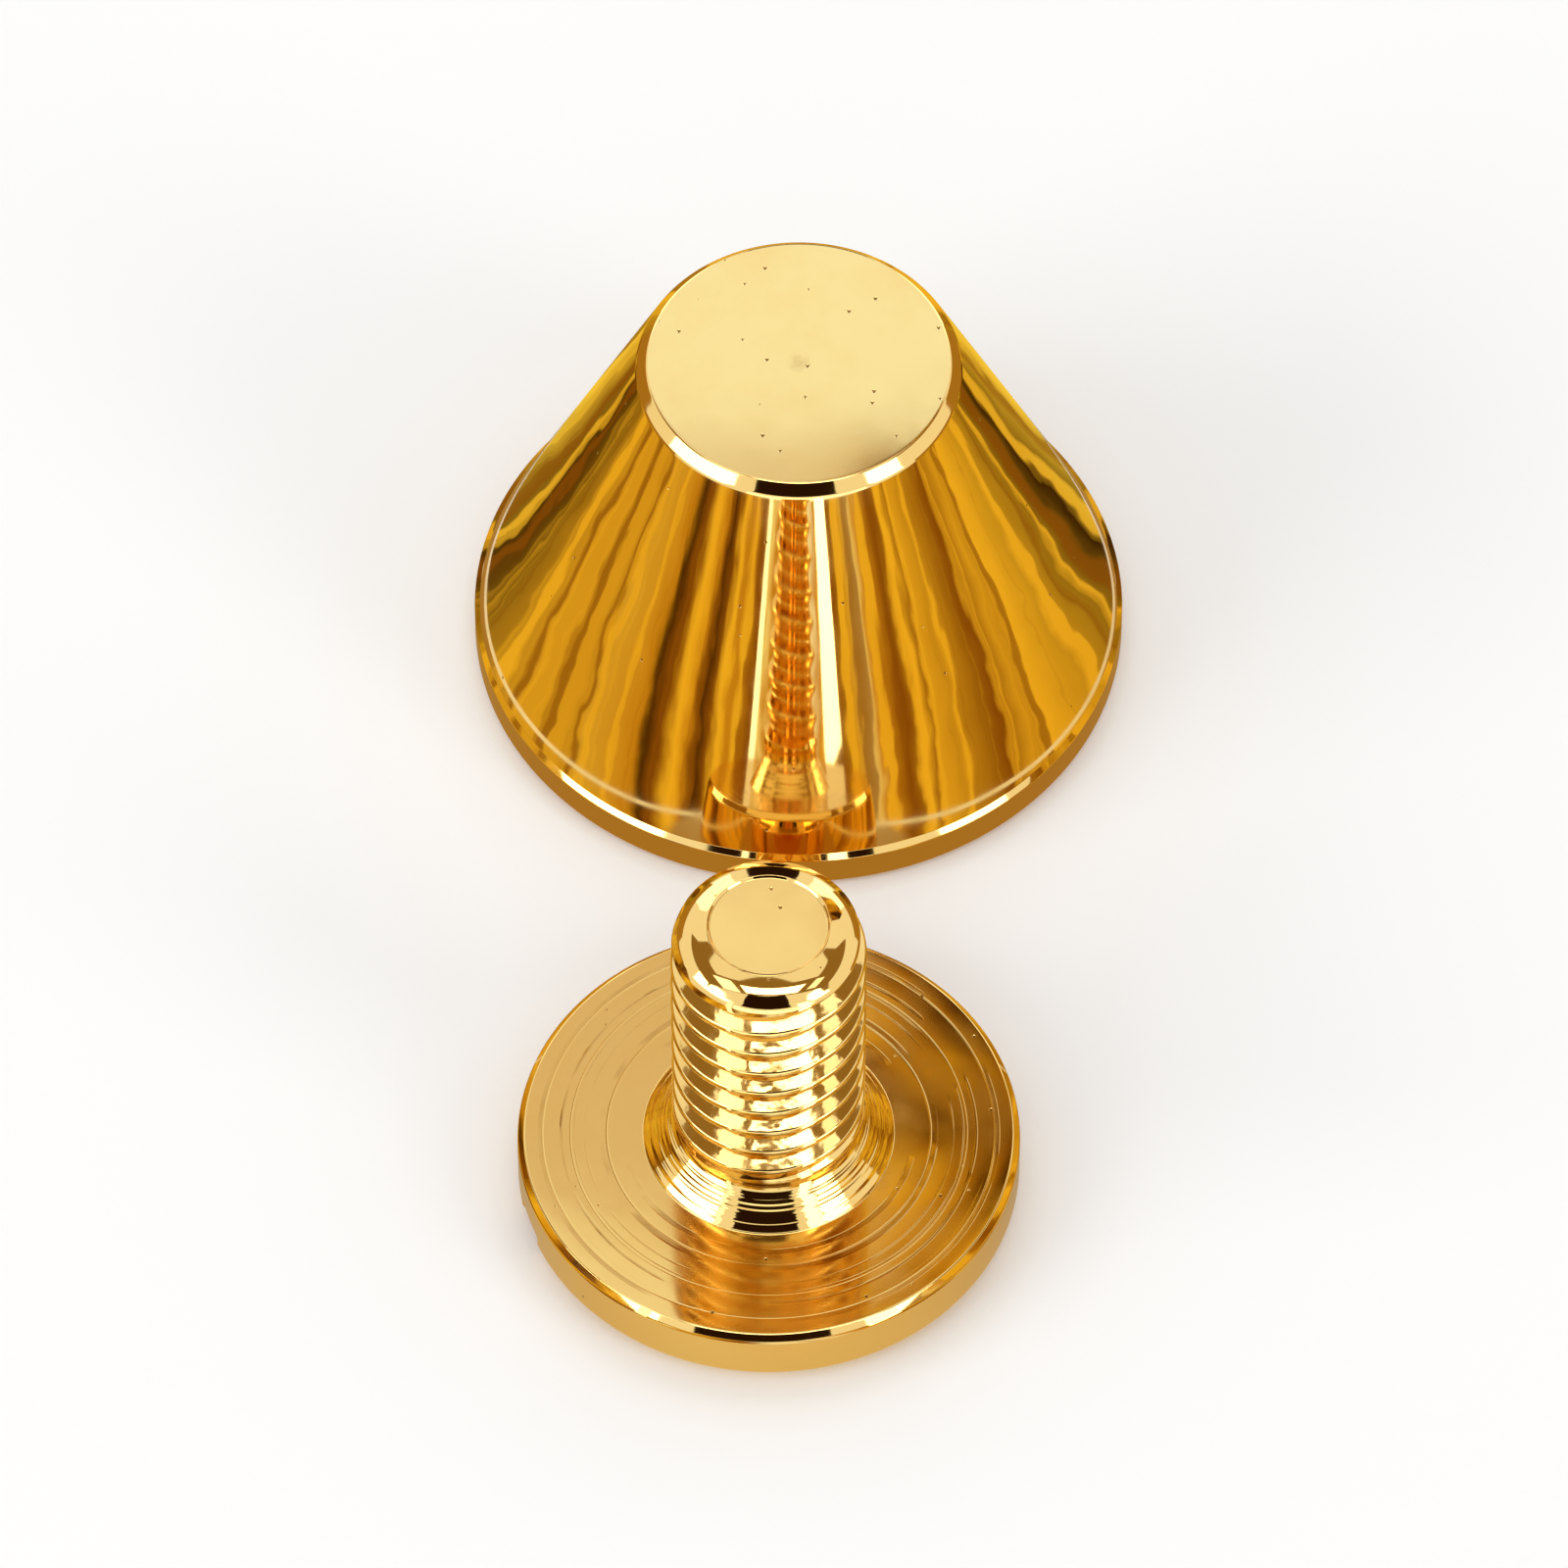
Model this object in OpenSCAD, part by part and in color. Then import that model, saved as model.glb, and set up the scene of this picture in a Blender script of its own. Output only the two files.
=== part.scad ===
// Screw back stud for leather work: a cone stud and the slotted screw that holds it from behind.
// The two pieces stand apart, the stud on its base and the screw on its head, with +Z up.
// The origin is on the ground, in the middle of the pair, and the screw stands on the -Y side.

/* [Cone stud] */
// Diameter of the wide base
base_d = 12; // [9:0.1:16]
// Height from the base to the flat top
stud_h = 7.8; // [7:0.1:12]
// Diameter of the flat on the small end
top_flat_d = 5.5; // [3.5:0.1:7]
// Width of the broken edge round the flat top
top_break = 0.2; // [0.1:0.05:0.5]
// Height of the straight rim band round the base
rim_h = 0.8; // [0.5:0.05:1.5]
// Width of the small chamfer on each edge of the rim band
rim_break = 0.1; // [0.05:0.01:0.2]

/* [Threaded hole] */
// Diameter of the hole at the crest of its thread
hole_d = 3; // [2.9:0.01:3.1]
// Diameter of the countersink where it meets the base face
sink_d = 4.75; // [4.4:0.05:6]
// Metal left between the end of the hole and the flat top
top_wall = 1.5; // [1:0.1:2.5]

/* [Slotted screw] */
// Diameter of the head
head_d = 9; // [7:0.1:12]
// Thickness of the head
head_h = 1.3; // [1:0.05:2]
// Width of the bevel on the slotted side of the head
head_bevel = 0.25; // [0.1:0.05:0.4]
// Width of the chamfer on the shank side of the head
head_chamfer = 0.12; // [0.05:0.01:0.3]
// Width of the screwdriver slot
slot_w = 0.9; // [0.6:0.05:1.4]
// Depth of the screwdriver slot
slot_depth = 0.55; // [0.3:0.05:0.8]
// Turn of the slot about the screw's axis, in degrees from the X axis
slot_turn = 20; // [0:5:90]
// Thinnest strap that the screw goes through without touching the end of the hole
strap_min = 1.2; // [1:0.1:3]
// Room left there between the tip of the screw and the end of the bore
tip_room = 0.3; // [0.1:0.1:0.5]
// Outside diameter of the thread
thread_d = 3.45; // [3.35:0.01:3.5]
// Distance from one crest of the thread to the next
pitch = 0.6; // [0.5:0.05:0.7]
// Length of the plain neck between the shoulder and the first groove of the thread
neck_len = 0.3; // [0.2:0.1:0.8]
// Play between the shoulder under the head and the countersink, on the radius
shoulder_clear = 0.125; // [0.05:0.025:0.2]
// Diameter of the flat on the tip
tip_flat_d = 2.2; // [1.8:0.1:2.8]
// Height of the rounded bead round the tip
tip_round_h = 0.45; // [0.3:0.05:0.8]

/* [Layout] */
// Gap between the stud's rim and the screw's head where they stand side by side
stand_gap = 1.9; // [1:0.1:6]

/* [Hidden] */
$fn = 96;
gold = [0.90, 0.70, 0.32];
pale_gold = [0.93, 0.76, 0.42];
// A cut starts this far outside the face that it opens.
overshoot = 0.2;

base_r = base_d / 2;
top_flat_r = top_flat_d / 2;
hole_r = hole_d / 2;
sink_r = sink_d / 2;
head_r = head_d / 2;
thread_r = thread_d / 2;
tip_flat_r = tip_flat_d / 2;

// The pair is centred on the origin along Y.
set_depth = base_d + stand_gap + head_d;
stud_y = (set_depth - base_d) / 2;
screw_y = (head_d - set_depth) / 2;

// The countersink and the shoulder that seats in it both slope at 45 degrees.
sink_depth = sink_r - hole_r;
shoulder_r = sink_r - shoulder_clear;
shoulder_h = shoulder_r - thread_r;

// The bore ends in a drill point under the top wall, and the shank is as long as the bore and strap allow.
drill_point_angle = 118;
drill_point_h = hole_r / tan(drill_point_angle / 2);
bore_depth = stud_h - top_wall - drill_point_h;
shank_len = bore_depth + strap_min - tip_room;
tip_z = head_h + shank_len;

// The thread is drawn as ring grooves at the real pitch, with 60 degree flanks and a narrow land on each crest.
groove_depth = 0.6 * pitch;
groove_root_w = 0.19 * pitch;
groove_mouth_w = groove_root_w + 2 * groove_depth * tan(30);
thread_z = head_h + shoulder_h + neck_len;
groove_count = floor((tip_z - tip_round_h - thread_z) / pitch);

// Half of the turned outline: rim band, conical side, broken edge and flat top.
module stud_blank() {
    rotate_extrude()
        polygon([
            [0, 0],
            [base_r - rim_break, 0],
            [base_r, rim_break],
            [base_r, rim_h - rim_break],
            [base_r - rim_break, rim_h],
            [top_flat_r + top_break, stud_h - top_break],
            [top_flat_r, stud_h],
            [0, stud_h]
        ]);
}

// The blind bore with its drill point, opened at the base by the countersink.
module stud_bore() {
    translate([0, 0, -overshoot]) {
        cylinder(r = hole_r, h = bore_depth + overshoot);
        cylinder(r1 = sink_r + overshoot, r2 = hole_r, h = sink_depth + overshoot);
    }
    translate([0, 0, bore_depth])
        cylinder(r1 = hole_r, r2 = 0, h = drill_point_h);
}

module cone_stud() {
    color(gold)
        translate([0, stud_y, 0])
            difference() {
                stud_blank();
                stud_bore();
            }
}

// The bead round the tip, an elliptic quarter from the shank in to the flat.
function tip_bead() = [
    for (a = [0 : 22.5 : 90])
        [tip_flat_r + (thread_r - tip_flat_r) * cos(a), tip_z - tip_round_h * (1 - sin(a))]
];

// Half of the turned outline, head down: bevelled head, shoulder, shank and rounded tip.
module screw_blank() {
    below_tip = [
        [0, 0],
        [head_r - head_bevel, 0],
        [head_r, head_bevel],
        [head_r, head_h - head_chamfer],
        [head_r - head_chamfer, head_h],
        [shoulder_r, head_h],
        [thread_r, head_h + shoulder_h]
    ];
    rotate_extrude()
        polygon(concat(below_tip, tip_bead(), [[0, tip_z]]));
}

// One ring groove of the thread, cut in from outside its crests.
module thread_groove() {
    rotate_extrude()
        polygon([
            [thread_r + overshoot, 0],
            [thread_r, 0],
            [thread_r - groove_depth, (groove_mouth_w - groove_root_w) / 2],
            [thread_r - groove_depth, (groove_mouth_w + groove_root_w) / 2],
            [thread_r, groove_mouth_w],
            [thread_r + overshoot, groove_mouth_w]
        ]);
}

module driver_slot() {
    slot_len = head_d + 2 * overshoot;
    rotate([0, 0, slot_turn])
        translate([-slot_len / 2, -slot_w / 2, -overshoot])
            cube([slot_len, slot_w, slot_depth + overshoot]);
}

module slotted_screw() {
    color(pale_gold)
        translate([0, screw_y, 0])
            difference() {
                screw_blank();
                for (k = [0 : groove_count - 1])
                    translate([0, 0, thread_z + k * pitch])
                        thread_groove();
                driver_slot();
            }
}

cone_stud();
slotted_screw();
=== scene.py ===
"""Looks of the screw back stud: the cone stud on its base and the slotted screw on its head.

Both pieces are turned forms. Each is built here as one closed mesh of rings about its own axis,
with rounded edges and true helical threads, and takes the place of its plain CAD solid.
Lengths are in millimetres until a mesh is finished, and then in metres.
"""

import math

import bmesh
import bpy
import numpy as np
from mathutils import Matrix, Vector


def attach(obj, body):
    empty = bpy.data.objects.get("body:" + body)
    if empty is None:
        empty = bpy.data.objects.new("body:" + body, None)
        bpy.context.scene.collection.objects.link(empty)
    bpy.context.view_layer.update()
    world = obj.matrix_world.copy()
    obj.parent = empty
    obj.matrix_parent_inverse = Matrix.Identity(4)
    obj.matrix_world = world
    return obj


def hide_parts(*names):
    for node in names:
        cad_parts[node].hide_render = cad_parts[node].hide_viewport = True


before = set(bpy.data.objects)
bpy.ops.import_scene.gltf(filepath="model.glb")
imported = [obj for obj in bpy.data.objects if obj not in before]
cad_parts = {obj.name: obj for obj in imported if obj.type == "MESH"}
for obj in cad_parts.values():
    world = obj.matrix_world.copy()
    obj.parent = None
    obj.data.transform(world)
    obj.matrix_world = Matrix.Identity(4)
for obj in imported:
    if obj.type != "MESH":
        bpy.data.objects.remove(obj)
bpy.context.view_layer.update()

MM = 0.001
TURN = 2 * math.pi

# Sizes of the cone stud, as in the solids; the base is a trace smaller and so stays in their box
STUD_Y = 5.45
BASE_R = 5.995
STUD_H = 7.8
TOP_FLAT_R = 2.75
TOP_BREAK = 0.2
RIM_H = 0.8
RIM_BREAK = 0.1
HOLE_R = 1.5
SINK_R = 2.375
BORE_DEPTH = 5.3987
DRILL_POINT_H = 0.9013

# Sizes of the slotted screw, as in the solids; the head is a trace smaller and so stays in their box
SCREW_Y = -6.95
HEAD_R = 4.4985
HEAD_H = 1.3
HEAD_BEVEL = 0.25
HEAD_CHAMFER = 0.12
SLOT_W = 0.9
SLOT_DEPTH = 0.55
SLOT_TURN = 20
SHOULDER_R = 2.25
THREAD_R = 1.725
SCREW_H = 7.5987

# The threads: true helices, where the solids have ring grooves and a plain hole
PITCH = 0.6
SCREW_ROOT_R = 1.385
HOLE_ROOT_R = 1.775
CREST_SHARE = 0.5
THREAD_RUN_OUT = 0.34
HOLE_THREAD_SHORT = 0.15
SCREW_THREAD_SHORT = 0.3

# The neck, and the bead round the slightly sunk flat of the tip
NECK_LEN = 0.3
NECK_R = 1.64
BEAD_DROP = 0.33
BEAD_R = 1.65
BEAD_MID_R = 1.4
TIP_LIP_R = 1.08
TIP_FLAT_R = 1.04
TIP_SINK = 0.045

# Marks of the tool: the dimple in the stud's top, and fine grooves as (radius, half width, depth)
DIMPLE_DEPTH = 0.006
DIMPLE_R = 0.18
BASE_MARKED = (5.6, 2.7)
BASE_MARKS = [(5.1, 0.05, 0.02), (4.75, 0.03, 0.012), (3.7, 0.05, 0.02), (3.0, 0.04, 0.012)]
HEAD_MARKED = (4.3, 2.4)
HEAD_MARKS = [(4.05, 0.025, 0.005), (3.55, 0.02, 0.004), (2.9, 0.025, 0.005)]

SEGMENTS = 240
SHARP_ANGLE = 50


# Outlines

def arc_corner(before, corner, after, radius, steps):
    """Points of a fillet of that radius at a corner of an outline."""
    a = Vector(before) - Vector(corner)
    b = Vector(after) - Vector(corner)
    half = a.angle(b) / 2
    reach = min(radius / math.tan(half), 0.45 * a.length, 0.45 * b.length)
    radius = reach * math.tan(half)
    middle = Vector(corner) + (a.normalized() + b.normalized()).normalized() * (radius / math.sin(half))
    start = Vector(corner) + a.normalized() * reach - middle
    end = Vector(corner) + b.normalized() * reach - middle
    sweep = start.angle_signed(end)
    return [
        tuple(middle + Matrix.Rotation(-sweep * k / steps, 2) @ start)
        for k in range(steps + 1)
    ]


def rounded(outline, steps=6, support=0.05):
    """An outline of (radius, height, fillet) corners as plain points, with rounded corners."""
    points = [tuple(outline[0][:2])]
    for k in range(1, len(outline) - 1):
        corner = outline[k][:2]
        if outline[k][2] > 0:
            points += arc_corner(outline[k - 1][:2], corner, outline[k + 1][:2], outline[k][2], steps)
        else:
            points.append(tuple(corner))
    points.append(tuple(outline[-1][:2]))
    return with_support(points, support)


def with_support(points, support):
    """Adds a point near each end of a long straight run, so that shading stays flat along it."""
    out = [points[0]]
    for a, b in zip(points, points[1:]):
        run = Vector(b) - Vector(a)
        if run.length > 4 * support:
            out.append(tuple(Vector(a) + run.normalized() * support))
            out.append(tuple(Vector(b) - run.normalized() * support))
        out.append(b)
    return out


# Ring meshes

class Rings:
    """A closed mesh made of rings of points about the Z axis, in millimetres."""

    def __init__(self):
        self.bm = bmesh.new()
        self.angles = [TURN * j / SEGMENTS for j in range(SEGMENTS)]
        self.first_pole = None
        self.last = None
        self.before = (0, 0)

    def point(self, radius, angle, height):
        return self.bm.verts.new((radius * math.cos(angle), radius * math.sin(angle), height))

    def face(self, corners, material):
        corners = list(dict.fromkeys(corners))
        if len(corners) < 3:
            return
        made = self.bm.faces.new(corners)
        made.material_index = material
        made.smooth = True

    def pole(self, height, material):
        """Opens or closes the form at the axis."""
        tip = self.bm.verts.new((0, 0, height))
        if self.last is None:
            self.first_pole = tip
            self.before = (0, height)
            return
        for j in range(SEGMENTS):
            self.face([self.last[j], self.last[(j + 1) % SEGMENTS], tip], material)

    def join(self, row, material):
        """Joins a row of points to the row before it, or to the first pole."""
        for j in range(SEGMENTS):
            k = (j + 1) % SEGMENTS
            if self.last is None:
                self.face([self.first_pole, row[k], row[j]], material)
            else:
                self.face([self.last[j], self.last[k], row[k], row[j]], material)
        self.last = row

    def outline(self, points):
        """Adds a ring for each (radius, height) point. Level faces get the faced metal."""
        for radius, height in points:
            across, up = abs(radius - self.before[0]), abs(height - self.before[1])
            if across < 1e-6 and up < 1e-6:
                continue
            row = [self.point(radius, a, height) for a in self.angles]
            self.join(row, FACED if up < 0.3 * across else POLISHED)
            self.before = (radius, height)

    def helix(self, section, low, high, radius_at):
        """Adds a stretch of thread whose rows follow the helix, so that each crest is one clean line.

        section is one pitch of thread as (height, radius) points, and radius_at shapes the stretch at
        its ends. A row that runs past the lowest or highest height lies on it, and is merged there.
        """
        per_turn = len(section)
        turns = math.ceil((high - low) / PITCH) + 1
        count = per_turn * turns
        base = high - PITCH * turns
        rows = []
        for i in range(count + 1):
            rise, radius = section[i % per_turn]
            start = base + PITCH * (i // per_turn) + rise
            row = []
            for a in self.angles:
                z = min(max(start + PITCH * a / TURN, low), high)
                row.append(self.point(radius_at(radius, z), a, z))
            rows.append(row)
        self.join(rows[0], THREADED)
        for i in range(count):
            row, upper = rows[i], rows[i + 1]
            far = rows[min(i + per_turn, count)][0]
            far_up = rows[min(i + 1 + per_turn, count)][0]
            for j in range(SEGMENTS):
                last = j == SEGMENTS - 1
                right = far if last else row[j + 1]
                right_up = far_up if last else upper[j + 1]
                self.face([row[j], right, right_up, upper[j]], THREADED)
        self.last = rows[-1]
        self.before = (radius_at(section[0][1], high), high)

    def finish(self, name):
        """Merges what coincides and returns the object, still in millimetres."""
        bmesh.ops.remove_doubles(self.bm, verts=self.bm.verts, dist=2e-4)
        bmesh.ops.recalc_face_normals(self.bm, faces=self.bm.faces)
        mesh = bpy.data.meshes.new(name)
        self.bm.to_mesh(mesh)
        self.bm.free()
        made = bpy.data.objects.new(name, mesh)
        bpy.context.scene.collection.objects.link(made)
        return made


def thread_section(crest_r, root_r):
    """One pitch of a thread with 60 degree flanks, as (height, radius) points from 0 to the pitch.

    Crest and root are arcs that run into the flanks, and their radii follow from the depth.
    """
    outward = 1 if crest_r > root_r else -1
    arcs = PITCH * math.tan(math.radians(60)) / 2 - abs(crest_r - root_r)
    crest, root = CREST_SHARE * arcs, (1 - CREST_SHARE) * arcs
    turn = np.radians(np.linspace(-60, 60, 9))
    points = [(crest * math.sin(a), crest_r - outward * crest * (1 - math.cos(a))) for a in turn]
    points += [(PITCH / 2 + root * math.sin(a), root_r + outward * root * (1 - math.cos(a))) for a in turn]
    start = points[0][0]
    return [(z - start, r) for z, r in points]


def smooth_step(value):
    share = min(max(value, 0), 1)
    return share * share * (3 - 2 * share)


def marked_face(span, height, marks, into):
    """Points of the turning marks in a level face from one radius to another; into is 1 for a cut upward."""
    outward = span[1] > span[0]
    points = []
    for radius, half_width, depth in sorted(marks, reverse=not outward):
        for side, share in ((-1, 0), (-0.5, 0.7), (0, 1), (0.5, 0.7), (1, 0)):
            step = side * half_width if outward else -side * half_width
            points.append((radius + step, height + into * depth * share))
    return points


# Metal

POLISHED, FACED, THREADED = 0, 1, 2
GOLD = (0.94, 0.66, 0.235, 1)
GOLD_DEEP = (0.86, 0.53, 0.14, 1)
# Painted highlight: paler than the plating, for the clipped glare of the stud's level faces
GOLD_PAINTED_GLARE = (0.97, 0.77, 0.33, 1)
# Painted shade for the screw's head: darker and tanner than its plating, for the dim surroundings it mirrors
GOLD_PAINTED_HEAD_SHADE = (0.90, 0.63, 0.215, 1)
GOLD_BROWN = (0.42, 0.22, 0.05, 1)
GOLD_SPECK = (0.30, 0.15, 0.03, 1)


class Nodes:
    """Short calls that add nodes to one material or world."""

    def __init__(self, name, world=False):
        kind = bpy.data.worlds if world else bpy.data.materials
        self.owner = kind.new(name)
        self.owner.use_nodes = True
        self.tree = self.owner.node_tree
        self.tree.nodes.clear()
        self.out = self.add("ShaderNodeOutputWorld" if world else "ShaderNodeOutputMaterial")

    def add(self, kind, **settings):
        made = self.tree.nodes.new(kind)
        for key, value in settings.items():
            setattr(made, key, value)
        return made

    def feed(self, socket, value):
        """Links an output to a socket, or sets the socket to a number or colour."""
        if isinstance(value, bpy.types.NodeSocket):
            self.tree.links.new(value, socket)
        else:
            socket.default_value = value

    def place(self):
        """Object coordinates, in metres from the piece's own origin."""
        return self.add("ShaderNodeTexCoord").outputs["Object"]

    def split(self):
        node = self.add("ShaderNodeSeparateXYZ")
        self.feed(node.inputs["Vector"], self.place())
        return node.outputs

    def noise(self, scale, detail=2, rough=0.5, line=None):
        """Noise in space, or along a line where a value is given."""
        made = self.add("ShaderNodeTexNoise")
        made.inputs["Scale"].default_value = scale
        made.inputs["Detail"].default_value = detail
        made.inputs["Roughness"].default_value = rough
        if line:
            made.noise_dimensions = "1D"
            self.feed(made.inputs["W"], line)
        else:
            self.feed(made.inputs["Vector"], self.place())
        return made.outputs["Fac"]

    def spots(self, scale, size, share):
        """1 inside small round spots, in that share of the cells, and 0 elsewhere."""
        made = self.add("ShaderNodeTexVoronoi")
        made.inputs["Scale"].default_value = scale
        self.feed(made.inputs["Vector"], self.place())
        inside = self.span(made.outputs["Distance"], size, 0.6 * size, 0, 1)
        pick = self.add("ShaderNodeSeparateColor")
        self.feed(pick.inputs["Color"], made.outputs["Color"])
        return self.maths("MULTIPLY", inside, self.maths("LESS_THAN", pick.outputs["Red"], share))

    def span(self, value, low, high, out_low, out_high):
        """Maps a value from one range to another and clamps it."""
        made = self.add("ShaderNodeMapRange", clamp=True)
        limits = {"From Min": low, "From Max": high, "To Min": out_low, "To Max": out_high}
        for key, number in limits.items():
            made.inputs[key].default_value = number
        self.feed(made.inputs["Value"], value)
        return made.outputs["Result"]

    def maths(self, operation, a, b=0):
        made = self.add("ShaderNodeMath", operation=operation)
        self.feed(made.inputs[0], a)
        self.feed(made.inputs[1], b)
        return made.outputs["Value"]

    def mix(self, share, a, b):
        made = self.add("ShaderNodeMix", data_type="RGBA")
        self.feed(made.inputs["Factor"], share)
        self.feed(made.inputs[6], a)
        self.feed(made.inputs[7], b)
        return made.outputs[2]

    def ramp(self, value, stops):
        """A colour ramp from (position, colour) stops, in order."""
        made = self.add("ShaderNodeValToRGB")
        elements = made.color_ramp.elements
        elements[0].position, elements[0].color = stops[0]
        elements[1].position, elements[1].color = stops[-1]
        for position, colour in stops[1:-1]:
            elements.new(position).color = colour
        self.feed(made.inputs["Fac"], value)
        return made.outputs["Color"]

    def bump(self, height, distance, before=None):
        made = self.add("ShaderNodeBump")
        made.inputs["Strength"].default_value = 1
        made.inputs["Distance"].default_value = distance
        self.feed(made.inputs["Height"], height)
        if before:
            self.feed(made.inputs["Normal"], before)
        return made.outputs["Normal"]

    def height(self):
        """Height above the ground, in metres."""
        return self.split()["Z"]

    def away_from(self, y):
        """Distance across the ground from the upright line at that Y, in metres."""
        parts = self.split()
        off = self.maths("SUBTRACT", parts["Y"], y)
        across = self.maths("MULTIPLY", parts["X"], parts["X"])
        return self.maths("SQRT", self.maths("ADD", across, self.maths("MULTIPLY", off, off)))

    def metal(self, colour, roughness, normal):
        made = self.add("ShaderNodeBsdfPrincipled")
        made.inputs["Metallic"].default_value = 1
        self.feed(made.inputs["Base Color"], colour)
        self.feed(made.inputs["Roughness"], roughness)
        self.feed(made.inputs["Normal"], normal)
        self.feed(self.out.inputs["Surface"], made.outputs["BSDF"])
        return self.owner

    def glow(self, colour, level=1):
        """Light of that colour and level, for a card."""
        made = self.add("ShaderNodeEmission")
        self.feed(made.inputs["Color"], colour)
        self.feed(made.inputs["Strength"], level)
        self.feed(self.out.inputs["Surface"], made.outputs["Emission"])
        return self.owner


def polished_metal():
    """Mirror-bright plating, with fine turning rings on the shoulder and in the countersink."""
    m = Nodes("gold_polished")
    waves = m.noise(420, 1)
    specks = m.spots(2200, 0.07, 0.3)
    tint = m.mix(m.span(m.noise(260, 3), 0.35, 0.75, 0, 0.5), GOLD, GOLD_DEEP)
    colour = m.mix(specks, tint, GOLD_SPECK)
    roughness = m.span(m.noise(1800, 4), 0.3, 0.7, 0.03, 0.07)
    near_axis = m.span(m.away_from(0), 0.0023, 0.0024, 1, 0)
    low = m.span(m.height(), 0.0025, 0.003, 1, 0)
    rings = m.maths("MULTIPLY", m.noise(8000, 2, line=m.height()), m.maths("MULTIPLY", near_axis, low))
    normal = m.bump(specks, -8e-6, m.bump(rings, 2e-5, m.bump(waves, 6e-6)))
    return m.metal(colour, roughness, normal)


def pressed_metal():
    """Plating on the level faces of the stud, a little rougher and painted paler: the paleness is a painted
    highlight, for the pale clipped glare of these faces. With a dimple in the middle, pits and smudges.
    """
    m = Nodes("gold_faced")
    smudge = m.span(m.noise(420, 5, 0.6), 0.52, 0.75, 0, 0.55)
    # Painted highlight: the base colour is paler than the gold, for the clipped glare of the level faces;
    # the smudges are patches of the plain gold
    colour = m.mix(smudge, GOLD_PAINTED_GLARE, GOLD)
    dimple = m.span(m.away_from(0), 0.00002, 0.00024, 1, 0)
    patchy = m.span(m.noise(5200, 3), 0.35, 0.65, 0.1, 0.6)
    colour = m.mix(m.maths("MULTIPLY", dimple, patchy), colour, GOLD_BROWN)
    specks = m.spots(2500, 0.1, 0.6)
    colour = m.mix(specks, colour, GOLD_SPECK)
    roughness = m.span(m.noise(900, 4), 0.3, 0.7, 0.12, 0.22)
    normal = m.bump(specks, -1e-5, m.bump(m.noise(500, 2), 4e-6))
    return m.metal(colour, roughness, normal)


def turned_metal():
    """A little duller plating on the screw's head and tip, with painted shade: the head is painted darker
    and tanner than the tip, for the dimmer surroundings that it mirrors. Broken turning arcs, pits and
    smudges.
    """
    m = Nodes("gold_turned")
    smudge = m.span(m.noise(330, 5, 0.6), 0.42, 0.75, 0, 0.6)
    # Painted shade: below the tip the plating is painted a darker tan, for the dimmer surroundings that the
    # head mirrors
    on_tip = m.span(m.height(), 0.003, 0.004, 0, 1)
    colour = m.mix(on_tip, m.mix(smudge, GOLD_PAINTED_HEAD_SHADE, GOLD_DEEP), GOLD)
    line = m.span(m.noise(5200, 2, line=m.away_from(0)), 0.57, 0.66, 0, 1)
    broken = m.span(m.noise(480, 3), 0.46, 0.6, 0, 1)
    arcs = m.maths("MULTIPLY", line, broken)
    arcs = m.maths("MULTIPLY", arcs, m.maths("SUBTRACT", 1, on_tip))
    colour = m.mix(m.maths("MULTIPLY", arcs, 0.6), colour, GOLD_BROWN)
    specks = m.spots(2300, 0.09, 0.5)
    colour = m.mix(specks, colour, GOLD_SPECK)
    roughness = m.span(m.noise(900, 4), 0.3, 0.7, 0.07, 0.15)
    normal = m.bump(m.noise(500, 2), 4e-6, m.bump(arcs, -3e-6))
    return m.metal(colour, roughness, m.bump(specks, -1e-5, normal))


def threaded_metal():
    """Plating on the threads, a little deeper in colour and less even."""
    m = Nodes("gold_threaded")
    tint = m.mix(m.span(m.noise(700, 3), 0.4, 0.7, 0, 0.5), GOLD, GOLD_DEEP)
    roughness = m.span(m.noise(2500, 3), 0.3, 0.7, 0.05, 0.12)
    return m.metal(tint, roughness, m.bump(m.noise(2600, 2), 9e-6))


# The two pieces

def build_stud():
    """The cone stud, from the flat top down the outside and up the threaded hole."""
    rings = Rings()
    rings.pole(STUD_H - DIMPLE_DEPTH, FACED)
    rings.outline([
        (DIMPLE_R / 3, STUD_H - DIMPLE_DEPTH),
        (DIMPLE_R * 2 / 3, STUD_H - DIMPLE_DEPTH / 2),
        (DIMPLE_R, STUD_H),
    ])
    rings.outline(rounded([
        (0.4, STUD_H, 0),
        (TOP_FLAT_R, STUD_H, 0.08),
        (TOP_FLAT_R + TOP_BREAK, STUD_H - TOP_BREAK, 0.2),
        (BASE_R - RIM_BREAK, RIM_H, 0.03),
        (BASE_R, RIM_H - RIM_BREAK, 0.05),
        (BASE_R, RIM_BREAK, 0.06),
        (BASE_R - RIM_BREAK, 0, 0.06),
        (BASE_MARKED[0], 0, 0),
    ]))
    rings.outline(marked_face(BASE_MARKED, 0, BASE_MARKS, 1))
    thread_start = SINK_R - HOLE_ROOT_R
    rings.outline(rounded([
        (BASE_MARKED[1], 0, 0),
        (SINK_R, 0, 0.06),
        (HOLE_ROOT_R, thread_start, 0),
    ]))
    thread_end = BORE_DEPTH - HOLE_THREAD_SHORT

    def hole_radius(radius, z):
        depth = (radius - HOLE_R) * smooth_step((thread_end - z) / THREAD_RUN_OUT)
        return max(HOLE_R + depth, SINK_R - z)

    rings.helix(thread_section(HOLE_R, HOLE_ROOT_R), thread_start, thread_end, hole_radius)
    rings.outline([(HOLE_R, BORE_DEPTH - 0.05), (HOLE_R - 0.02, BORE_DEPTH)])
    rings.pole(BORE_DEPTH + DRILL_POINT_H, POLISHED)
    return rings.finish("cone_stud_gold")


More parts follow.
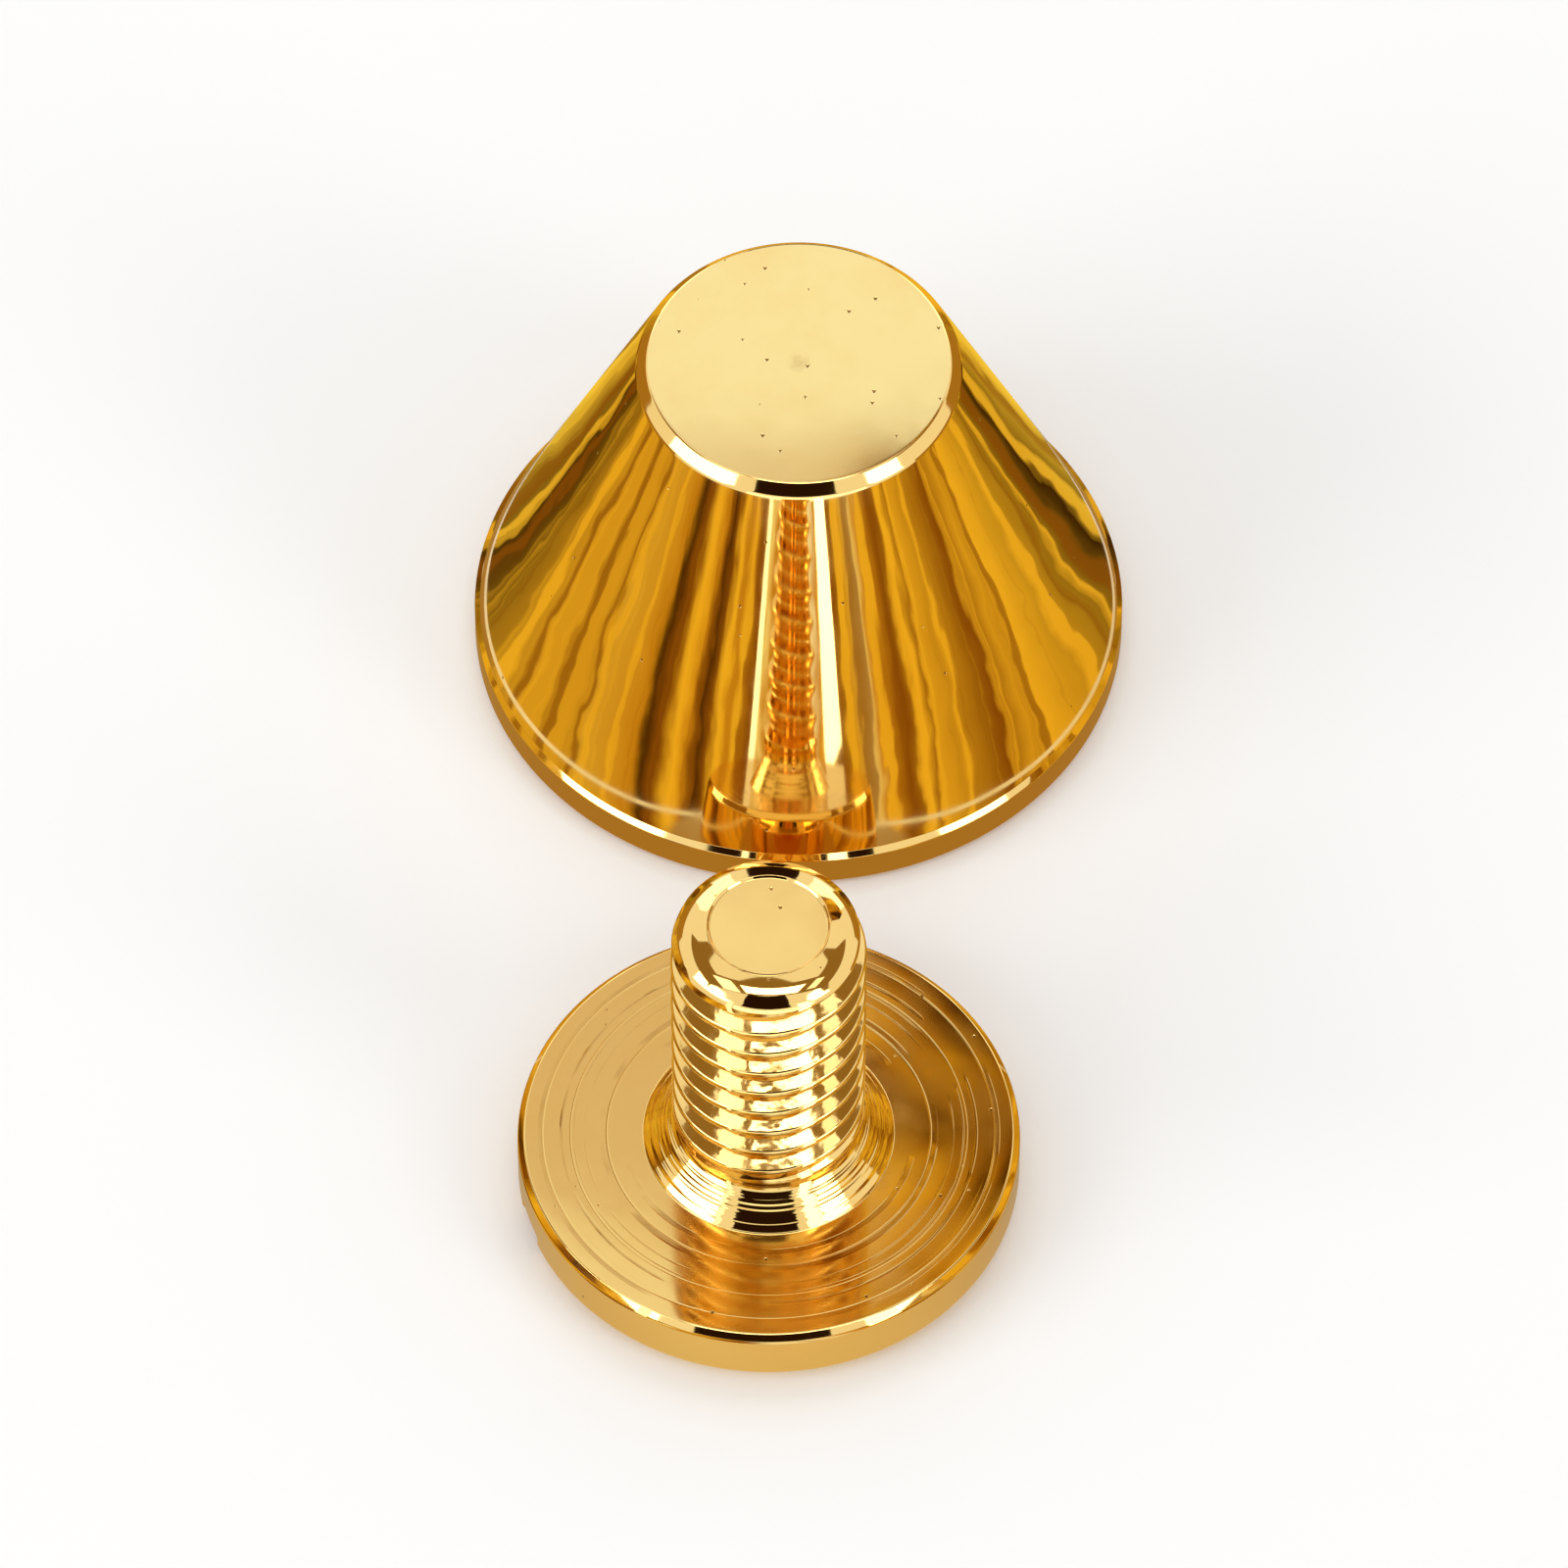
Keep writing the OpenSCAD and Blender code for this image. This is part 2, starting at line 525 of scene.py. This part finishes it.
def bead_outline():
    """(radius, height) points of the bead round the tip, from the shank in to the lip of the flat."""
    points = rounded([
        (THREAD_R, SCREW_H - 2 * BEAD_DROP, 0),
        (BEAD_R, SCREW_H - BEAD_DROP, 0.3),
        (BEAD_MID_R, SCREW_H - 0.35 * BEAD_DROP, 0.8),
        (TIP_LIP_R, SCREW_H, 0),
    ], steps=10, support=0.04)
    return [(float(r), float(z)) for r, z in points]


def bead_radius(z):
    """Radius of the bead at that height."""
    radii, heights = zip(*bead_outline())
    return float(np.interp(z, heights, radii))


def build_screw():
    """The screw, from the slotted face of the head up to the tip."""
    rings = Rings()
    rings.pole(0, FACED)
    rings.outline(rounded([
        (1.0, 0, 0),
        (HEAD_R - HEAD_BEVEL, 0, 0.15),
        (HEAD_R, HEAD_BEVEL, 0.2),
        (HEAD_R, HEAD_H - HEAD_CHAMFER, 0.08),
        (HEAD_R - HEAD_CHAMFER, HEAD_H, 0.06),
        (HEAD_MARKED[0], HEAD_H, 0),
    ]))
    rings.outline(marked_face(HEAD_MARKED, HEAD_H, HEAD_MARKS, -1))
    shoulder_top = HEAD_H + SHOULDER_R - THREAD_R
    thread_start = shoulder_top + NECK_LEN
    rings.outline(rounded([
        (HEAD_MARKED[1], HEAD_H, 0),
        (SHOULDER_R, HEAD_H, 0.04),
        (NECK_R, shoulder_top + 0.05, 0.12),
        (NECK_R, thread_start - 0.08, 0.05),
        (THREAD_R, thread_start, 0),
    ]))
    thread_end = SCREW_H - SCREW_THREAD_SHORT

    def shank_radius(radius, z):
        rising = smooth_step((z - thread_start) / THREAD_RUN_OUT)
        falling = smooth_step((thread_end - z) / (0.5 * THREAD_RUN_OUT))
        depth = (THREAD_R - radius) * rising * falling
        return min(THREAD_R - depth, bead_radius(z))

    rings.helix(thread_section(THREAD_R, SCREW_ROOT_R), thread_start, thread_end, shank_radius)
    rings.outline([(r, z) for r, z in bead_outline() if thread_end + 0.005 < z < SCREW_H - 0.01])
    rings.outline(rounded([
        (TIP_LIP_R + 0.02, SCREW_H - 0.01, 0),
        (TIP_LIP_R, SCREW_H, 0.02),
        (TIP_FLAT_R, SCREW_H - TIP_SINK, 0.03),
        (0.3, SCREW_H - TIP_SINK, 0),
    ], support=0.02))
    rings.pole(SCREW_H - TIP_SINK, FACED)
    return rings.finish("slotted_screw_gold")


def slot_section():
    """(across, up) points of the slot's section, with a flared mouth and rounded corners."""
    half, lip, corner = SLOT_W / 2, 0.05, 0.08
    quarter = [(math.sin(a), math.cos(a)) for a in np.linspace(0, math.pi / 2, 6)]
    side = [(half + lip, -0.3)]
    side += [(half + lip * (1 - sine), lip * (1 - cosine)) for sine, cosine in quarter]
    side += [(half - corner * (1 - cosine), SLOT_DEPTH - corner * (1 - sine)) for sine, cosine in quarter]
    return side + [(-across, up) for across, up in reversed(side)]


def slot_cutter():
    """A long bar with the slot's section, turned to the slot's direction."""
    section = slot_section()
    reach = HEAD_R + 0.3
    bm = bmesh.new()
    ends = [[bm.verts.new((along, across, up)) for across, up in section] for along in (-reach, reach)]
    bm.faces.new(ends[0])
    bm.faces.new(reversed(ends[1]))
    count = len(section)
    for k in range(count):
        n = (k + 1) % count
        bm.faces.new([ends[0][k], ends[1][k], ends[1][n], ends[0][n]])
    bmesh.ops.recalc_face_normals(bm, faces=bm.faces)
    turn = Matrix.Rotation(math.radians(SLOT_TURN), 3, "Z")
    bmesh.ops.rotate(bm, verts=bm.verts, cent=(0, 0, 0), matrix=turn)
    mesh = bpy.data.meshes.new("slot_cutter")
    bm.to_mesh(mesh)
    bm.free()
    made = bpy.data.objects.new("slot_cutter", mesh)
    bpy.context.scene.collection.objects.link(made)
    return made


def settle(piece, materials, axis_y, cutter=None):
    """Cuts the slot, evens the shading of flat faces, turns the mesh to metres and puts it in place."""
    for material in materials:
        piece.data.materials.append(material)
    if cutter:
        cut = piece.modifiers.new("slot", "BOOLEAN")
        cut.operation = "DIFFERENCE"
        cut.solver = "EXACT"
        cut.object = cutter
    even = piece.modifiers.new("even", "WEIGHTED_NORMAL")
    even.keep_sharp = True
    bpy.context.view_layer.update()
    mesh = bpy.data.meshes.new_from_object(piece.evaluated_get(bpy.context.evaluated_depsgraph_get()))
    piece.modifiers.clear()
    piece.data = mesh
    if cutter:
        bpy.data.objects.remove(cutter)
    mesh.set_sharp_from_angle(angle=math.radians(SHARP_ANGLE))
    mesh.transform(Matrix.Scale(MM, 4))
    piece.location = (0, axis_y * MM, 0)
    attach(piece, "root")


polished, threaded = polished_metal(), threaded_metal()
stud = build_stud()
settle(stud, [polished, pressed_metal(), threaded], STUD_Y)
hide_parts("cone_stud")

screw = build_screw()
settle(screw, [polished, turned_metal(), threaded], SCREW_Y, slot_cutter())
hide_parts("slotted_screw")


# Floor, in metres

FLOOR_SIZE = 8
FLOOR_SINK = 0.00001
FLOOR_TONE = (0.94, 0.937, 0.93, 1)
MATT_TO, WHITE_FROM = 0.02, 0.09


def build_floor():
    """A large pale floor: matt near the pieces, where it takes their shadow, and plain white far off."""
    bpy.ops.mesh.primitive_plane_add(size=FLOOR_SIZE, location=(0, 0, -FLOOR_SINK))
    floor = bpy.context.object
    floor.name = "floor"
    m = Nodes("floor_white")
    matt = m.add("ShaderNodeBsdfDiffuse")
    matt.inputs["Color"].default_value = FLOOR_TONE
    white = m.add("ShaderNodeEmission")
    mixed = m.add("ShaderNodeMixShader")
    m.feed(mixed.inputs["Fac"], m.span(m.away_from(0), MATT_TO, WHITE_FROM, 0, 1))
    m.feed(mixed.inputs[1], matt.outputs["BSDF"])
    m.feed(mixed.inputs[2], white.outputs["Emission"])
    m.feed(m.out.inputs["Surface"], mixed.outputs["Shader"])
    floor.data.materials.append(m.owner)


build_floor()


# Light, in metres

WORLD_LEVEL = 0.75
LAMP_DISTANCE = 0.6
LAMP_TARGET = (0, 0, 0.003)


def build_world():
    """White wherever it is seen or mirrored, and a plain level of light on the pieces."""
    m = Nodes("studio", world=True)
    rays = m.add("ShaderNodeLightPath").outputs
    seen = m.maths("MAXIMUM", rays["Is Camera Ray"], rays["Is Glossy Ray"])
    seen = m.maths("MAXIMUM", seen, rays["Is Transmission Ray"])
    sky = m.add("ShaderNodeBackground")
    sky.inputs["Color"].default_value = (1, 1, 1, 1)
    m.feed(sky.inputs["Strength"], m.span(seen, 0, 1, WORLD_LEVEL, 1))
    m.feed(m.out.inputs["Surface"], sky.outputs["Background"])
    bpy.context.scene.world = m.owner


def toward(azimuth, elevation, distance):
    """A point in that direction from the pair; azimuth 0 is the camera's side and 90 is +X."""
    a, e = math.radians(azimuth), math.radians(elevation)
    return Vector((math.sin(a) * math.cos(e), -math.cos(a) * math.cos(e), math.sin(e))) * distance


def aim(thing, target):
    thing.rotation_euler = (Vector(target) - thing.location).to_track_quat("-Z", "Y").to_euler()


def softbox(name, azimuth, elevation, size, level):
    """An area lamp whose surface has about that brightness, where 1 is white."""
    lamp = bpy.data.lights.new(name, "AREA")
    lamp.shape = "RECTANGLE"
    lamp.size, lamp.size_y = size
    lamp.energy = level * math.pi * size[0] * size[1]
    made = bpy.data.objects.new(name, lamp)
    bpy.context.scene.collection.objects.link(made)
    made.location = toward(azimuth, elevation, LAMP_DISTANCE)
    aim(made, LAMP_TARGET)
    made.visible_camera = False
    return made


build_world()
softbox_back = softbox("softbox_back", 180, 62, size=(0.5, 0.3), level=1.05)
softbox_back.visible_glossy = False
softbox("softbox_left", -62, 28, size=(0.42, 0.24), level=3.5)
softbox("softbox_right", 58, 28, size=(0.2, 0.26), level=3.5)


# Glowing cards that only the metal mirrors: painted reflections, in the tones that neighbours of the same
# metal would give

CREAM = (1.0, 0.90, 0.50, 1)
YELLOW = (0.95, 0.62, 0.05, 1)
OCHRE = (0.72, 0.45, 0.04, 1)
OLIVE = (0.70, 0.46, 0.06, 1)
AMBER = (0.62, 0.32, 0.02, 1)
BROWN = (0.26, 0.10, 0.006, 1)
DARK = (0.05, 0.02, 0.002, 1)
WHITE = (1.0, 1.0, 1.0, 1)
SHADE = (0.30, 0.18, 0.05, 1)
WALL = (0.42, 0.23, 0.035, 1)
BACKDROP = (0.79, 0.68, 0.60, 1)
FLOOR_FRONT = (0.80, 0.66, 0.42, 1)
FLOOR_MIDDLE = (0.48, 0.35, 0.20, 1)
FLOOR_BACK = (0.42, 0.24, 0.06, 1)

# Bands round the pair by azimuth
BANDS = [
    (-180, AMBER), (-160, YELLOW), (-136, DARK), (-112, OCHRE), (-84, OLIVE), (-68, AMBER),
    (-64, DARK), (-57, BROWN), (-51, YELLOW), (-45, AMBER), (-41, DARK), (-36, BROWN),
    (-32, YELLOW), (-28, AMBER), (-18, BROWN), (-14, CREAM), (-11, AMBER), (-2, BROWN),
    (1, WHITE), (10, WHITE), (13, AMBER), (17, YELLOW), (21, BROWN), (30, OCHRE), (36, CREAM),
    (40, AMBER), (52, BROWN), (58, YELLOW), (90, BROWN), (104, YELLOW), (142, DARK), (160, YELLOW),
]
BAND_WAVER = 0.012
STREAKS_A_TURN = 42

# The bowl as (gap to the pieces, height) of its rings, and where the other cards stand, in mm
BOWL = [(0.9, 0.1), (4.0, 1.6), (8.5, 5.5)]
MAT_Z = 0.02
STRIP_Y = -12.6
STRIP_HEIGHTS = (0.05, 11)
BACK_Y = 10
BACKDROP_WIDTH, BACKDROP_HEIGHTS = (-9, 0.9), (16, 29)
NEIGHBOUR_WIDTH, NEIGHBOUR_HEIGHTS = (0.9, 13), (16, 38)

# Height of the cards overhead, in metres
CEILING_H = 0.12


def card(name, faces, material, scale=1):
    """A glowing card from faces given by their corner points, which only the metal mirrors: a painted
    reflection, unseen by the camera, by diffuse light and by shadows.
    """
    bm = bmesh.new()
    for corners in faces:
        bm.faces.new([bm.verts.new(point) for point in corners])
    bmesh.ops.remove_doubles(bm, verts=bm.verts, dist=1e-7)
    mesh = bpy.data.meshes.new(name)
    bm.to_mesh(mesh)
    bm.free()
    mesh.transform(Matrix.Scale(scale, 4))
    mesh.materials.append(material)
    made = bpy.data.objects.new(name, mesh)
    bpy.context.scene.collection.objects.link(made)
    made.visible_camera = False
    made.visible_diffuse = False
    made.visible_shadow = False
    made.visible_transmission = False


def plain_tone(name, colour, level=1):
    """One tone. A level over 1 holds only where the metal mirrors the card itself."""
    m = Nodes(name)
    if level <= 1:
        return m.glow(colour, level)
    depth = m.add("ShaderNodeLightPath").outputs["Ray Depth"]
    return m.glow(colour, m.span(depth, 1, 2, level, 1))


def banded_colour(m):
    """Bands round the pair that waver a little, with fine darker and lighter streaks in them."""
    around = m.add("ShaderNodeTexGradient", gradient_type="RADIAL")
    m.feed(around.inputs["Vector"], m.place())
    waver = m.span(m.noise(700), 0, 1, -BAND_WAVER, BAND_WAVER)
    share = m.maths("ADD", around.outputs["Fac"], waver)
    stops = sorted(((90 + azimuth) % 360 / 360, colour) for azimuth, colour in BANDS)
    colour = m.ramp(share, stops)
    streaks = m.noise(STREAKS_A_TURN, 3, line=share)
    colour = m.mix(m.span(streaks, 0.46, 0.36, 0, 0.75), colour, BROWN)
    return m.mix(m.span(streaks, 0.56, 0.66, 0, 0.8), colour, YELLOW)


def egg_ring(gap, height, count=120):
    """A ring of points round the pair, about that far outside both pieces."""
    ring = []
    for k in range(count):
        t = TURN * k / count
        x = (6.6 + gap + 0.75 * math.sin(t)) * math.cos(t)
        ring.append((x, (11.6 + gap) * math.sin(t), height))
    return ring


def build_bowl_card():
    """A low bowl round the pair."""
    rings = [egg_ring(gap, height) for gap, height in BOWL]
    faces = []
    for low, high in zip(rings, rings[1:]):
        for k in range(len(low)):
            n = (k + 1) % len(low)
            faces.append([low[k], low[n], high[n], high[k]])
    m = Nodes("bowl_card_tone")
    card("bowl_card", faces, m.glow(banded_colour(m)), MM)


def build_mat_card():
    """The floor inside the bowl: a warm shade close to the rims, and the bowl's bands further off."""
    m = Nodes("mat_card_tone")
    along = m.span(m.split()["Y"], -0.012, -0.002, 0, 1)
    shade = m.ramp(along, [(0, FLOOR_FRONT), (0.5, FLOOR_MIDDLE), (1, FLOOR_BACK)])
    off_stud = m.span(m.away_from(STUD_Y * MM), 0.0071, 0.0076, 0, 1)
    off_screw = m.span(m.away_from(SCREW_Y * MM), 0.0056, 0.0061, 0, 1)
    colour = m.mix(m.maths("MULTIPLY", off_stud, off_screw), shade, banded_colour(m))
    card("mat_card", [egg_ring(BOWL[0][0], MAT_Z)], m.glow(colour), MM)


def build_patch_card(name, azimuths, elevations, distance, colour, level=1):
    """A curved card that fills that range of directions, seen from the pair."""
    across = np.linspace(*azimuths, 13)
    up = np.linspace(*elevations, 7)
    faces = []
    for low, high in zip(up, up[1:]):
        for left, right in zip(across, across[1:]):
            corners = (left, low), (right, low), (right, high), (left, high)
            faces.append([toward(a, e, distance) for a, e in corners])
    card(name, faces, plain_tone(name + "_tone", colour, level))


def build_ceiling_card(name, low, high, rise, colour, level=1):
    """A level card overhead between two (x, y) corners, which the thread's flanks mirror."""
    (left, front), (right, back), z = low, high, CEILING_H + rise
    corners = [(left, front, z), (right, front, z), (right, back, z), (left, back, z)]
    card(name, [corners], plain_tone(name + "_tone", colour, level))


def upright(y, left, right, low, high):
    """Corners of an upright sheet that faces the camera's side."""
    return [(left, y, low), (right, y, low), (right, y, high), (left, y, high)]


def build_strip_card(name, left, right, level):
    """An upright strip before the pair, which the cone mirrors as one bright streak."""
    corners = upright(STRIP_Y, left, right, *STRIP_HEIGHTS)
    card(name, [corners], plain_tone(name + "_tone", WHITE, level), MM)


def build_backdrop_card():
    """A pale sheet behind the pair, which the left part of the screw's head mirrors."""
    corners = upright(BACK_Y, *BACKDROP_WIDTH, *BACKDROP_HEIGHTS)
    card("backdrop_card", [corners], plain_tone("backdrop_card_tone", BACKDROP), MM)


def build_neighbour_card():
    """A sheet of gold tones behind the pair, which the right part of the screw's head mirrors."""
    m = Nodes("neighbour_card_tone")
    colour = m.ramp(m.noise(330, 1), [(0.38, DARK), (0.46, BROWN), (0.56, AMBER), (0.64, YELLOW)])
    corners = upright(BACK_Y, *NEIGHBOUR_WIDTH, *NEIGHBOUR_HEIGHTS)
    card("neighbour_card", [corners], m.glow(colour), MM)


build_bowl_card()
build_mat_card()
build_neighbour_card()
build_backdrop_card()
build_patch_card("window_card", (-29, 44), (0.2, 20), 0.08, WHITE, 2)
# The two dark cards are painted: a painted reflection of the camera's dark body in front, and painted shade
# behind the pair
build_patch_card("camera_card", (-26, 26), (28, 58), 0.4, DARK, 0.4)
build_patch_card("back_card", (172, 190), (1, 27), 0.3, DARK, 0.4)
build_patch_card("back_left_card", (196, 216), (4, 34), 0.3, WHITE, 2.2)
build_patch_card("back_right_card", (146, 166), (4, 34), 0.3, WHITE, 2.2)
build_patch_card("right_wall_card", (82, 150), (4, 24), 0.03, WALL)
build_patch_card("left_wall_card", (-150, -82), (4, 24), 0.03, WALL)
build_patch_card("right_shade_card", (68, 124), (34, 58), 0.2, SHADE)
build_patch_card("left_shade_card", (-124, -68), (34, 58), 0.2, SHADE)
build_ceiling_card("ceiling_shade_card", (-0.17, -0.075), (0.17, -0.012), 0.002, SHADE)
build_ceiling_card("front_card", (-0.036, -0.066), (0.056, -0.030), 0, WHITE, 4.5)
build_ceiling_card("left_card", (-0.092, -0.070), (-0.048, -0.020), 0, WHITE, 2.2)
build_ceiling_card("right_card", (0.075, -0.060), (0.105, -0.020), 0, WHITE, 1.6)
build_strip_card("streak_card", 3.3, 5.0, 3.5)
build_strip_card("left_streak_card", -4.1, -3.5, 2)


# Camera

CAMERA_AZIMUTH = 2.5
CAMERA_ELEVATION = 53.5
CAMERA_DISTANCE = 0.225
VIEW_ANGLE = 7.2
TARGET = (0, -0.0007, 0.0033)

camera_data = bpy.data.cameras.new("camera")
camera_data.sensor_fit = "HORIZONTAL"
camera_data.angle = math.radians(VIEW_ANGLE)
camera_data.clip_start = 0.005
camera_data.clip_end = 20
camera = bpy.data.objects.new("camera", camera_data)
bpy.context.scene.collection.objects.link(camera)
camera.location = Vector(TARGET) + toward(CAMERA_AZIMUTH, CAMERA_ELEVATION, CAMERA_DISTANCE)
aim(camera, TARGET)
bpy.context.scene.camera = camera
bpy.context.scene.view_settings.view_transform = "Standard"



bpy.context.view_layer.update()
